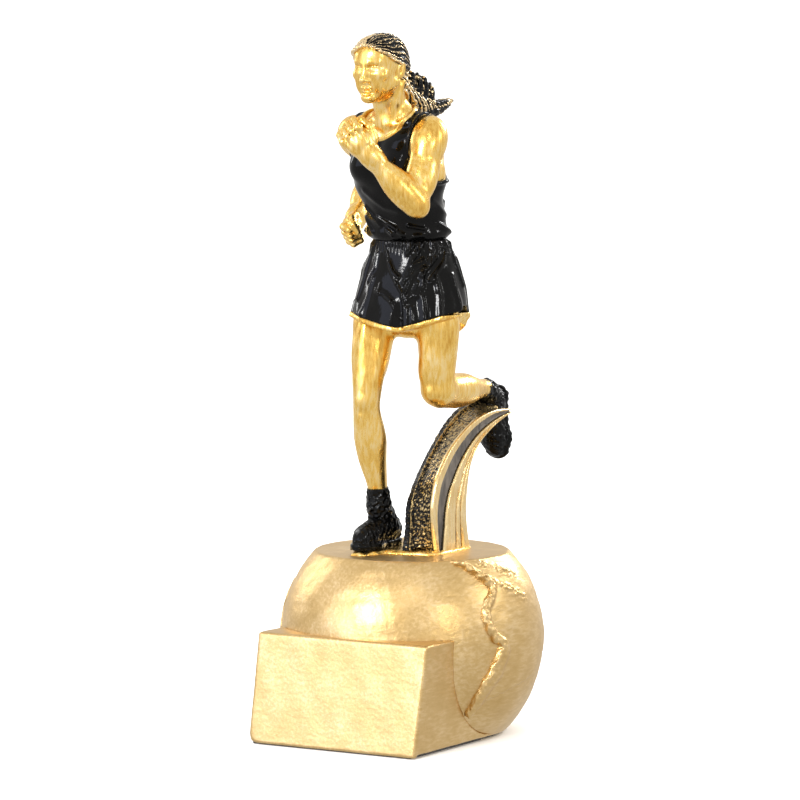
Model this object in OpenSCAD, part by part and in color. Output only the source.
// Figure trophy: a runner on a globe base, with a support fin and a plinth block.
// Millimetres, Z up, +X to the runner's left, the runner faces -Y.
// The origin is on the globe's axis, at the underside of the felt pad.

/* [Globe base] */
// Radius of the globe
globe_r = 36.2; // [35.6:0.1:36.8]
// Height of the globe's centre
globe_mid = 25.9; // [25.4:0.1:26.4]
// Height of the flat top that the runner stands on
top_z = 50.4; // [50:0.1:51]
// How far the land stands out of the sea
land_h = 0.8; // [0.5:0.1:1.2]
// Thickness of the felt pad
felt_t = 0.8; // [0.6:0.1:1.2]

/* [Plinth block] */
// Width of the block
block_w = 52.4; // [51:0.2:54]
// Height of the block's top
block_h = 30; // [28:0.5:32]
// Distance from the globe's axis to the block's front, at the foot
block_reach = 43.2; // [42:0.2:45]
// How far the front face leans back from foot to top
block_lean = 5.4; // [4:0.2:7]
// Width of the chamfer round the front face
block_bevel = 1.2; // [0.6:0.1:2]

/* [Support fin] */
// Width of the fin
fin_w = 9.4; // [8:0.2:11]
// How far the ribs and the stripe stand out of the fin's side
rib_h = 0.6; // [0.3:0.1:1]

/* [Steel pins] */
// Diameter of the reinforcing rod in the standing leg
rod_d = 2; // [1.6:0.1:2.2]
// Diameter of the dowels
dowel_d = 3; // [2:0.5:3]
// Clearance of each pin in its hole, on the diameter
pin_gap = 0.2; // [0.1:0.05:0.3]

/* [Hidden] */

patch_h = 1.2;
stand_z = top_z + patch_h;
// The landmarks below were set out for a patch whose top is this high
drawn_z = 51.6;
lift = stand_z - drawn_z;
seat_gap = 0.05;
gold = [0.83, 0.64, 0.28];
pale_gold = [0.80, 0.69, 0.47];
gloss_black = [0.05, 0.05, 0.05];

// Landmarks of the body: x, y, z and the radius there
right_thigh_line = [[-6.4, -2.5, 126, 6], [-7, -7, 114, 6.6], [-7, -9.4, 107, 5.9],
    [-6.8, -11.6, 99, 4.8], [-6.7, -12.2, 92, 4.4]];
right_shin_line = [[-6.7, -11.8, 91, 4.3], [-6.6, -9.6, 82, 4.6], [-6.4, -8.4, 74, 3.7],
    [-6.3, -7.6, 66, 2.9]];
right_sock_line = [[-6.3, -7.6, 66.5, 3.4], [-6.1, -6.2, 62, 3.3], [-6, -5, 57.5, 3.6]];
right_shoe_line = [[-6, 0.2, 55.2, 3.5], [-6, -6.5, 57, 4], [-6.1, -13, 55.4, 4],
    [-6.3, -18, 54.2, 3.4]];
left_thigh_line = [[6.4, -2.5, 126, 6], [7.6, -3, 114, 6.8], [8.6, -3, 105, 6],
    [9.4, -3, 97, 5.3]];
left_shin_line = [[9.4, -1, 96, 5.1], [9.3, 8, 94.4, 5], [9, 15, 93.4, 4.4], [8.2, 23, 93.1, 3]];
left_sock_line = [[8.2, 22.5, 93.1, 3.5], [7.6, 28, 92.6, 3.4], [7.2, 32, 90.5, 3.7]];
left_shoe_line = [[7, 35.4, 90.4, 3.6], [7, 33.2, 86, 4.2], [7, 33.2, 79, 4.4], [7, 34.2, 77.6, 3.6]];
right_arm_line = [[-14, -5, 164.6, 5.2], [-16.4, 1, 161, 5], [-19, 8, 155, 4.2], [-21, 13.6, 150, 3.8]];
right_forearm_line = [[-21, 13.4, 149.6, 3.7], [-20.4, 9, 147, 4.3], [-19, 3.5, 143.4, 3.5],
    [-18.2, 0.4, 141.2, 2.8]];
left_arm_line = [[14, -12, 165.2, 5.3], [15, -15, 160, 5.1], [16.2, -19, 151.6, 4.1], [17, -21.6, 146.4, 3.9]];
left_forearm_line = [[16.8, -22, 146.2, 3.8], [13.4, -24.6, 150.6, 4.5], [8.2, -27.6, 156.6, 3.8],
    [4.2, -29.8, 161, 2.9]];
neck_line = [[-0.4, -8.6, 169, 5.2], [-0.8, -11.6, 174, 4.2], [-1, -13, 179, 4.2]];
ponytail_line = [[-0.4, -4.4, 183.6, 2.8], [0.6, 0.4, 179.4, 4], [1.2, 5, 174.4, 4.6],
    [1.6, 10.6, 171.4, 3.4], [1.9, 16, 171.4, 2.2], [2.2, 21, 173.6, 0.9]];
right_fist_mid = [-17, -4, 137.6];
left_fist_mid = [0.9, -31.6, 164.6];
head_mid = [-1, -15, 184.2];
head_turn = -4;

// Curves of the fin in the plane across its width, as points along Y and Z
fin_front = [[-7.4, 50.6], [-9.2, 57], [-9.8, 62], [-9, 67], [-6.4, 72.6], [-1.6, 77.6], [4.4, 81.8],
    [11, 85], [18.6, 87], [25, 88], [31.4, 88.6]];
fin_back = [[31.8, 85.8], [26, 83.6], [19, 80], [13, 75.4], [9.8, 70.4], [8.5, 65], [8.6, 59], [11, 50.6]];
fin_x = 3;
fin_steps = 3;
// The ridge, the stripe and the ribs lie between these shares of the way from front to back
ridge_band = [0, 0.1];
stripe_band = [0.1, 0.36];
rib_bands = [[0.44, 0.56], [0.62, 0.78], [0.86, 1]];

function at(p) = [p[0], p[1], p[2]];
// Point on a smooth curve through a list of points, at t counted in points
function on_curve(line, t) =
    let (n = len(line) - 1, k = min(floor(t), n - 1), u = t - k, a = line[max(k - 1, 0)], b = line[k],
        c = line[k + 1], d = line[min(k + 2, n)])
    b + (c - a) * u / 2 + (a * 2 - b * 5 + c * 4 - d) * u * u / 2 + (b * 3 - a - c * 3 + d) * u * u * u / 2;
// Point on the fin's side: t goes from its foot to its tip, s from its front curve to its back curve
function fin_point(t, s) =
    on_curve(fin_front, t * (len(fin_front) - 1)) * (1 - s)
    + on_curve(fin_back, (1 - t) * (len(fin_back) - 1)) * s;
function fin_band(s0, s1) =
    let (n = (len(fin_front) - 1) * fin_steps)
    concat([for (i = [0 : n]) fin_point(i / n, s0)], [for (i = [n : -1 : 0]) fin_point(i / n, s1)]);

module ball(p, fn = 20) {
    translate(at(p)) sphere(r = p[3], $fn = fn);
}

module egg(mid, half, fn = 24) {
    translate(mid) scale(half) sphere(r = 1, $fn = fn);
}

// A rounded limb through a line of landmarks
module limb(line) {
    for (i = [0 : len(line) - 2])
        hull() {
            ball(line[i]);
            ball(line[i + 1]);
        }
}

// A straight round pin or hole between two points
module pin_between(a, b, d) {
    run = b - a;
    length = norm(run);
    translate(a) rotate([0, acos(run[2] / length), atan2(run[1], run[0])])
        cylinder(h = length, d = d, $fn = 32);
}

// The block seen from the side, with its leaning front, carried across its width
module block_body(width, reach, height, lean) {
    translate([-width / 2, 0, felt_t]) rotate([90, 0, 90])
        linear_extrude(width)
            polygon([[-reach, 0], [-reach + lean, height - felt_t], [0, height - felt_t], [0, 0]]);
}

module globe_ball(extra = 0) {
    translate([0, 0, globe_mid]) sphere(r = globe_r + extra, $fn = 96);
}

module felt_pad() {
    color([0.06, 0.06, 0.07])
        linear_extrude(felt_t) {
            circle(r = 24.6, $fn = 96);
            translate([-block_w / 2 + 1, -block_reach + 1]) square([block_w - 2, block_reach - 6]);
        }
}

module block_dowels(gap = 0) {
    color("silver")
        for (x = [-12, 12])
            translate([x, -36, 14]) rotate([-90, 0, 0]) cylinder(h = 16, d = dowel_d + gap, $fn = 32);
}

module fin_dowels(gap = 0) {
    color("silver")
        for (y = [-3, 6])
            translate([fin_x + fin_w / 2, y, 42]) cylinder(h = 20, d = dowel_d + gap, $fn = 32);
}

module leg_rod(gap = 0) {
    color("silver")
        translate([0, 0, lift]) pin_between([-5.9, -5.2, 42], [-6.5, -9.2, 80], rod_d + gap);
}

module globe() {
    color(pale_gold)
        difference() {
            intersection() {
                globe_ball();
                translate([0, 0, felt_t]) cylinder(h = top_z - felt_t, r = globe_r + 2, $fn = 96);
            }
            block_dowels(pin_gap);
            fin_dowels(pin_gap);
            leg_rod(pin_gap);
        }
}

// One land mass: the shell over the globe, cut by an outline seen from azimuth, elevation
module land_mass(azimuth, elevation, outline) {
    intersection() {
        difference() {
            globe_ball(land_h);
            globe_ball();
        }
        translate([0, 0, globe_mid]) rotate([90 - elevation, 0, azimuth]) linear_extrude(60)
            polygon(outline);
    }
}

module globe_land() {
    color(pale_gold)
        difference() {
            union() {
                land_mass(62, 0, [[-6, 23], [3, 24], [12, 19], [20, 8], [19, -6], [10, -17], [2, -23],
                    [-7, -25], [-11, -19], [-5, -12], [-3, -3], [-9, 6], [-11, 15]]);
                land_mass(-62, 0, [[-16, 17], [-4, 22], [3, 15], [-2, 5], [2, -6], [-6, -20], [-13, -9],
                    [-19, 3]]);
                land_mass(160, 5, [[-17, 12], [-6, 19], [10, 17], [19, 6], [9, -2], [3, -16], [-4, -19],
                    [-8, -6], [-16, 0]]);
            }
            block_body(block_w + 1, block_reach + 1, block_h + 0.5, block_lean);
            translate([0, 0, felt_t - 50]) cube(100, center = true);
            translate([0, 0, top_z + 50]) cube(100, center = true);
        }
}

module plinth_block() {
    inset = block_bevel;
    color(pale_gold)
        difference() {
            block_body(block_w, block_reach, block_h, block_lean);
            // Chamfers along the top, the foot and both sides of the front face
            for (side = [-1, 1])
                translate([side * block_w / 2, -block_reach, 0]) rotate([-atan(block_lean / block_h), 0, 0])
                    rotate([0, 0, 45]) cube([inset * sqrt(2), inset * sqrt(2), 90], center = true);
            translate([0, -block_reach + block_lean, block_h]) rotate([45, 0, 0])
                cube([90, inset * sqrt(2), inset * sqrt(2)], center = true);
            for (side = [-1, 1])
                translate([side * block_w / 2, 0, block_h]) rotate([0, 45, 0])
                    cube([inset * sqrt(2), 120, inset * sqrt(2)], center = true);
            globe_ball(seat_gap);
            block_dowels(pin_gap);
            translate([0, 0, -1]) cylinder(h = 5, r = 25.5, $fn = 96);
        }
}

module ground_patch() {
    color(gold)
        difference() {
            translate([0, 0, top_z]) linear_extrude(patch_h)
                polygon([[-9.6, -19], [-8, -22], [-4, -22.4], [-1.8, -17], [0, -12.4], [4, -11.6], [9, -10.6],
                    [13.2, -9.4], [13.8, -2], [13.4, 5], [13.4, 11.4], [8, 12], [2, 10.6], [-2, 5.4],
                    [-7, 4.8], [-10, 1], [-10.4, -8]]);
            fin_dowels(pin_gap);
            leg_rod(pin_gap);
        }
}

// The fin's outline carried across from x0 for a width w
module fin_slab(s0, s1, x0, w) {
    translate([x0, 0, lift]) rotate([90, 0, 90]) linear_extrude(w) polygon(fin_band(s0, s1));
}

module fin() {
    color([0.30, 0.24, 0.13])
        difference() {
            fin_slab(0, 1, fin_x, fin_w);
            translate([0, 0, stand_z - 50]) cube(100, center = true);
            fin_dowels(pin_gap);
            left_shoe_solid();
            left_sock_solid();
        }
}

module fin_side(bands, h) {
    difference() {
        for (band = bands)
            fin_slab(band[0], band[1], fin_x + fin_w, h);
        translate([0, 0, stand_z - 50]) cube(100, center = true);
        left_shoe_solid();
    }
}

module fin_ribs() {
    color(gold) fin_side(concat([ridge_band], rib_bands), rib_h);
}

module fin_stripe() {
    color([0.28, 0.27, 0.28]) fin_side([stripe_band], rib_h / 2);
}

module right_shoe() {
    color(gloss_black)
        translate([0, 0, lift]) difference() {
            union() {
                limb(right_shoe_line);
                hull() {
                    translate([-6, 0, drawn_z]) cylinder(h = 2, r = 3.9, $fn = 24);
                    translate([-6.1, -13, drawn_z]) cylinder(h = 2, r = 4.5, $fn = 24);
                    translate([-6.4, -18, drawn_z]) cylinder(h = 2, r = 3.8, $fn = 24);
                }
            }
            translate([0, 0, drawn_z - 50]) cube(100, center = true);
            limb(right_sock_line);
            translate([0, 0, -lift]) leg_rod(pin_gap + 0.1);
        }
}

module right_sock() {
    color(gloss_black)
        translate([0, 0, lift]) difference() {
            limb(right_sock_line);
            limb(right_shin_line);
            translate([0, 0, -lift]) leg_rod(pin_gap + 0.1);
        }
}

module right_shin() {
    color(gold)
        translate([0, 0, lift]) difference() {
            limb(right_shin_line);
            limb([right_thigh_line[3], right_thigh_line[4]]);
            translate([0, 0, -lift]) leg_rod(pin_gap + 0.1);
        }
}

module right_thigh() {
    color(gold)
        translate([0, 0, lift]) limb(right_thigh_line);
}

module left_sock_solid() {
    translate([0, 0, lift]) limb(left_sock_line);
}

module left_shoe_solid() {
    translate([0, 0, lift]) {
        limb(left_shoe_line);
        hull()
            for (p = [[7, 36.4, 90, 3], [7, 36.6, 78.6, 3.2]])
                ball(p);
    }
}

module left_shoe() {
    color(gloss_black)
        difference() {
            left_shoe_solid();
            left_sock_solid();
            translate([7, 90 - 0.4, 85]) cube(100, center = true);
        }
}

module left_sock() {
    color(gloss_black)
        difference() {
            left_sock_solid();
            translate([0, 0, lift]) limb(left_shin_line);
        }
}

module left_shin() {
    color(gold)
        translate([0, 0, lift]) difference() {
            limb(left_shin_line);
            limb([left_thigh_line[2], left_thigh_line[3]]);
        }
}

module left_thigh() {
    color(gold)
        translate([0, 0, lift]) limb(left_thigh_line);
}

// One leg of the shorts, from the hip down to its hem ring
module shorts_leg(side, hem_z, hem_h, grow = 0) {
    hull() {
        egg([side * 3.4, -1, 129], [8.8 + grow, 9 + grow, 6], 28);
        translate([side * 7.4, -3.4, hem_z]) scale([1.02, 1.16, 1])
            cylinder(h = hem_h, r = 8.6 + grow, $fn = 32);
    }
}

module shorts_solid() {
    hull() {
        egg([0, -1, 129], [11.8, 9, 6], 28);
        translate([0, -2.2, 136]) scale([1.28, 1, 1]) cylinder(h = 1, r = 8, $fn = 32);
    }
    shorts_leg(-1, 113.4, 2);
    shorts_leg(1, 113.4, 2);
}

module thighs() {
    limb(right_thigh_line);
    limb(left_thigh_line);
}

module shorts() {
    color(gloss_black)
        translate([0, 0, lift]) difference() {
            shorts_solid();
            thighs();
        }
}

module shorts_hem() {
    color(gold)
        translate([0, 0, lift]) difference() {
            for (side = [-1, 1])
                translate([side * 7.4, -3.4, 112.2]) scale([1.02, 1.16, 1])
                    cylinder(h = 1.2, r = 8.8, $fn = 40);
            thighs();
        }
}

// The trunk from the waist up to the shoulders
module trunk() {
    waist = [0, -2.6, 140.5];
    ribs = [0.2, -6.8, 154];
    hull() {
        translate([0, -2.2, 137]) scale([1.34, 1.02, 1]) cylinder(h = 1, r = 8, $fn = 32);
        egg(waist, [9.9, 7.6, 4], 28);
    }
    hull() {
        egg(waist, [9.9, 7.6, 4], 28);
        egg(ribs, [12.4, 9, 8.6], 28);
    }
    hull() {
        egg(ribs, [12.4, 9, 8.6], 28);
        ball([10.4, -11, 164.4, 4.9]);
        ball([-10.4, -6.2, 163.8, 4.9]);
    }
    for (x = [-5.6, 5.6])
        egg([x, -12.4 - x / 8, 157.4], [5.2, 4.8, 5], 20);
    hull() {
        ball([9, -10.4, 167, 3.4]);
        ball([-9, -6.6, 166.4, 3.4]);
        ball([-0.4, -8, 169.4, 4.6]);
    }
}

// The opening of the singlet round the neck
module neck_opening(grow = 0) {
    egg([-0.6, -13.4, 173.6], [8.2 + grow, 8.6 + grow, 11 + grow], 32);
    egg([-0.2, -1, 173], [6.8 + grow, 8 + grow, 8.6 + grow], 32);
}

// Both arms down to the elbows, which the armholes of the singlet clear
module arms(grow = 0) {
    for (line = [right_arm_line, left_arm_line])
        limb([for (p = line) [p[0], p[1], p[2], p[3] + grow]]);
}

module singlet() {
    color(gloss_black)
        translate([0, 0, lift]) difference() {
            trunk();
            neck_opening();
            arms();
            limb(left_forearm_line);
            shorts_solid();
        }
}

// Gold piping round the neck opening, standing a little proud of the singlet
module singlet_trim() {
    color(gold)
        translate([0, 0, lift]) difference() {
            intersection() {
                scale_about([0, -6.8, 154], 1.035) trunk();
                neck_opening(0.7);
            }
            trunk();
            neck_opening();
            arms();
            limb(ponytail_line);
        }
}

module scale_about(mid, k) {
    translate(mid) scale(k) translate(-mid) children();
}

module neck_and_chest() {
    color(gold)
        translate([0, 0, lift]) difference() {
            union() {
                intersection() {
                    trunk();
                    neck_opening();
                }
                limb(neck_line);
            }
            head_solid();
            arms();
            singlet_remainder();
        }
}

// Keeps the neck clear of the singlet where it passes through the opening
module singlet_remainder() {
    difference() {
        trunk();
        neck_opening();
    }
}

module right_upper_arm() {
    color(gold) translate([0, 0, lift]) limb(right_arm_line);
}

module left_upper_arm() {
    color(gold) translate([0, 0, lift]) limb(left_arm_line);
}

module right_forearm() {
    color(gold)
        translate([0, 0, lift]) difference() {
            limb(right_forearm_line);
            limb(right_arm_line);
        }
}

module left_forearm() {
    color(gold)
        translate([0, 0, lift]) difference() {
            limb(left_forearm_line);
            limb(left_arm_line);
        }
}

// A closed hand: a rounded block, four knuckles and a thumb folded across them
module fist(mid, yaw, tilt) {
    translate(mid) rotate([tilt, 0, yaw]) {
        hull()
            for (x = [-2.2, 2.2], z = [-2.4, 2.4])
                ball([x, 0.6, z, 2.2], 16);
        for (k = [0 : 3])
            hull() {
                ball([-2.2, -2.4, 2.7 - 1.8 * k, 1.3], 14);
                ball([1.8, -2.8, 2.7 - 1.8 * k, 1.3], 14);
            }
        hull() {
            ball([2.6, 0, 3.4, 1.4], 14);
            ball([0.4, -3.2, 3.6, 1.2], 14);
        }
    }
}

module right_fist() {
    color(gold)
        translate([0, 0, lift]) difference() {
            fist(right_fist_mid, -10, -30);
            limb(right_forearm_line);
        }
}

module left_fist() {
    color(gold)
        translate([0, 0, lift]) difference() {
            fist(left_fist_mid, -35, 25);
            limb(left_forearm_line);
        }
}

// The head faces -Y before it is turned
module head_solid() {
    translate(head_mid) rotate([6, 0, head_turn]) {
        hull() {
            egg([0, 1.2, 1.8], [6.3, 7.4, 6.8], 28);
            egg([0, -1.6, -2.2], [5.4, 5.6, 5.6], 24);
            egg([0, -4, -7], [2.5, 2.4, 2.2], 20);
        }
        // Nose, brow and ears
        hull() {
            ball([0, -6.6, 0.2, 0.6], 12);
            ball([0, -7.8, -2.8, 0.8], 12);
            ball([0, -6, -3.2, 1.2], 12);
        }
        for (side = [-1, 1])
            egg([side * 6, 0.8, -1.4], [0.9, 1.5, 2.2], 14);
    }
}

module head() {
    color(gold) translate([0, 0, lift]) head_solid();
}

module hair() {
    color(gloss_black)
        translate([0, 0, lift]) difference() {
            translate(head_mid) rotate([6, 0, head_turn]) difference() {
                hull() {
                    egg([0, 1.8, 2.2], [6.9, 7.8, 7.1], 32);
                    egg([0, 3.4, -1.2], [5.8, 5.6, 5.4], 28);
                }
                // The hairline, from the forehead down behind the ears
                rotate([38, 0, 0]) translate([0, -52.6, -30]) cube(100, center = true);
            }
            head_solid();
            limb(neck_line);
            limb(ponytail_line);
        }
}

module ponytail() {
    color(gloss_black)
        translate([0, 0, lift]) difference() {
            limb(ponytail_line);
            head_solid();
            limb(neck_line);
            trunk();
        }
}

felt_pad();
globe();
globe_land();
plinth_block();
block_dowels();
ground_patch();
fin();
fin_ribs();
fin_stripe();
fin_dowels();
leg_rod();
right_shoe();
right_sock();
right_shin();
right_thigh();
left_shoe();
left_sock();
left_shin();
left_thigh();
shorts();
shorts_hem();
singlet();
singlet_trim();
neck_and_chest();
right_upper_arm();
right_forearm();
right_fist();
left_upper_arm();
left_forearm();
left_fist();
head();
hair();
ponytail();
